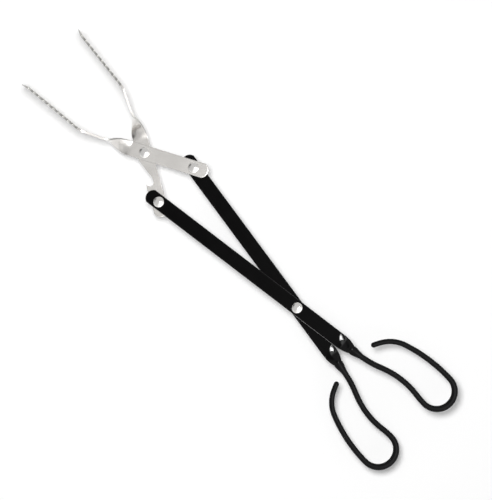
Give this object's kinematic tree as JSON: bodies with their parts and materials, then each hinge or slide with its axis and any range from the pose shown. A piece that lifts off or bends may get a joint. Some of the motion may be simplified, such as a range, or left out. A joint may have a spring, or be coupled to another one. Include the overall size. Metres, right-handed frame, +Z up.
{
  "type": "grill tongs",
  "caption": "Long scissor-action grill tongs: black arms with finger loops, kite linkage of riveted bars, wide toothed twisted blades, bottle opener hook.",
  "frame": {"origin": "centre of the bounding box's bottom, on the surface that the blades' lower side edges touch; the linkage plane is level 28 mm above it", "axes": "+X forward along the centreline to the blade tips, +Y to the side of the top jaw's blade, +Z up, square to the linkage plane"},
  "size_m": [0.608, 0.1428, 0.056],
  "materials": {
    "black_enamel": "satin black enamel",
    "black_vinyl": "matte dipped vinyl",
    "rod_steel": "plain drawn rod",
    "satin_stainless": "satin stainless",
    "rivet_steel": "polished",
    "washer_steel": "bright stamped"
  },
  "bodies": {
    "top_arm": {"top_arm": "black_enamel", "top_handle_rod": "rod_steel", "top_grip": "black_vinyl", "main_rivet": "rivet_steel", "main_spacer": "washer_steel", "main_back_washer": "washer_steel", "left_link_rivet": "rivet_steel", "left_link_spacer": "washer_steel", "left_link_back_washer": "washer_steel"},
    "bottom_arm": {"bottom_arm": "black_enamel", "bottom_handle_rod": "rod_steel", "bottom_grip": "black_vinyl"},
    "top_jaw": {"top_jaw": "satin_stainless", "right_link_rivet": "rivet_steel", "right_link_spacer": "washer_steel", "right_link_back_washer": "washer_steel", "jaw_rivet": "rivet_steel", "jaw_spacer": "washer_steel", "jaw_back_washer": "washer_steel"},
    "bottom_jaw": {"bottom_jaw": "satin_stainless"}
  },
  "joints": [
    {"name": "main_pivot", "type": "hinge", "parent": "top_arm", "child": "bottom_arm", "pos_m": [-0.09844, -0.00003, 0.028], "axis": [0, 0, -1], "range_deg": [-8.2, 7]},
    {"name": "right_link", "type": "hinge", "parent": "bottom_arm", "child": "top_jaw", "pos_m": [0.09959, -0.02804, 0.028], "axis": [0, 0, 1], "range_deg": [-20, 17]},
    {"name": "left_link", "type": "hinge", "parent": "top_arm", "child": "bottom_jaw", "pos_m": [0.09959, 0.02798, 0.028], "axis": [0, 0, -1], "range_deg": [-20, 17]}
  ],
  "couplings": [
    {"joint": "right_link", "follows": "main_pivot", "ratio": 2.4},
    {"joint": "left_link", "follows": "main_pivot", "ratio": 2.4}
  ]
}
